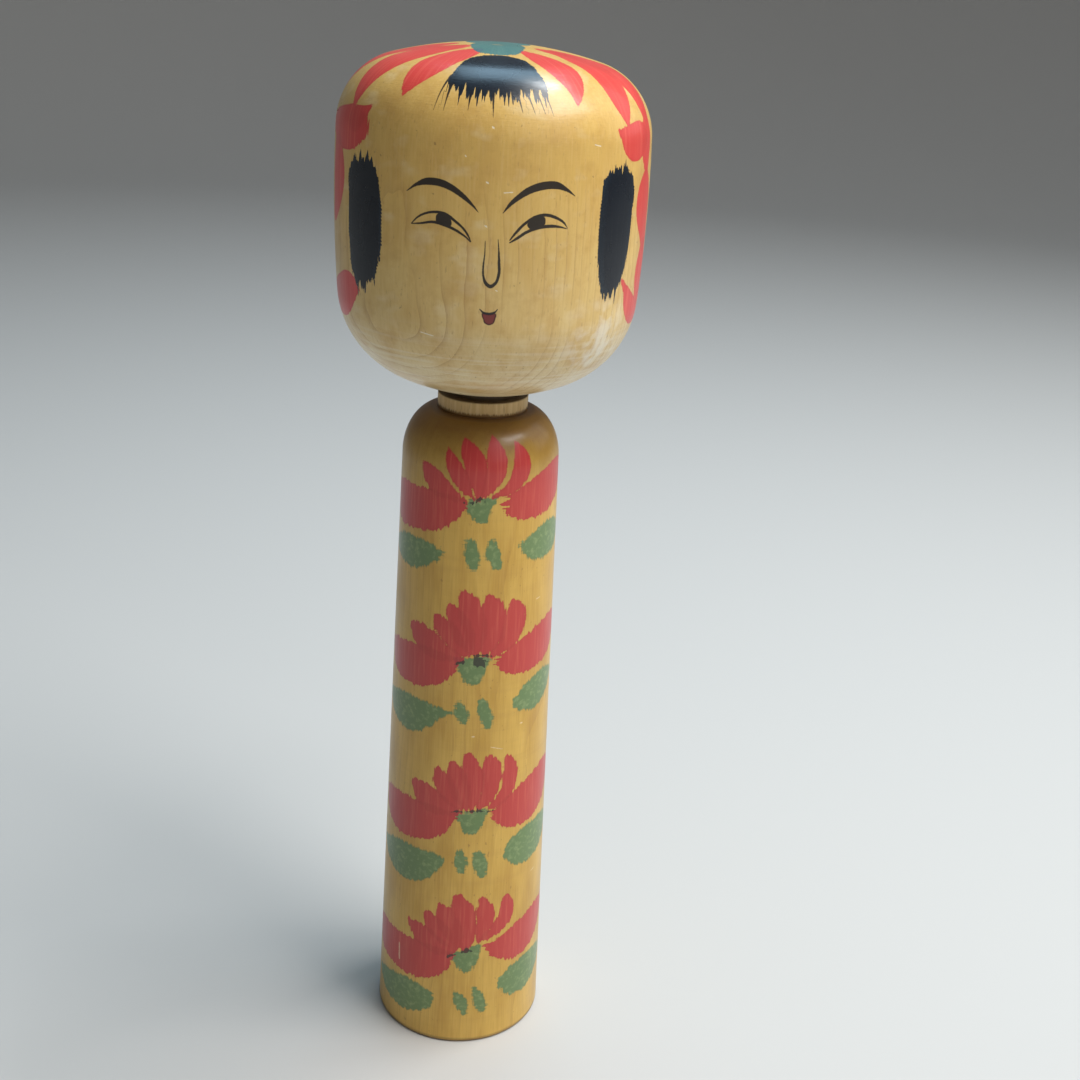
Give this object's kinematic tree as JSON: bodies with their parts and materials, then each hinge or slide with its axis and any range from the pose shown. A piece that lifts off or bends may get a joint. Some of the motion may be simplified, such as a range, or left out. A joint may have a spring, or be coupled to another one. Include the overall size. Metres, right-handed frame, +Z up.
{
  "type": "kokeshi doll",
  "caption": "Lathe-turned wooden doll: a barrel head whose tenon turns in the collar of a flared column body, painted with hair, a plain face and stacked flowers.",
  "frame": {"origin": "centre of the foot, on the surface that the doll stands on", "axes": "+Z up along the lathe axis towards the crown; the face looks towards -Y"},
  "size_m": [0.0846, 0.0846, 0.303],
  "materials": {
    "stained_body_wood": "dogwood stained yellow-ochre, painted and waxed to a soft gloss",
    "waxed_head_wood": "bare dogwood, aged to honey, painted and waxed to a soft gloss"
  },
  "bodies": {
    "body": {"body": "stained_body_wood"},
    "head": {"head": "waxed_head_wood"}
  },
  "joints": [
    {"name": "head_turn", "type": "hinge", "parent": "body", "child": "head", "pos_m": [0, 0, 0.2089], "axis": [0, 0, 1], "continuous": true}
  ]
}
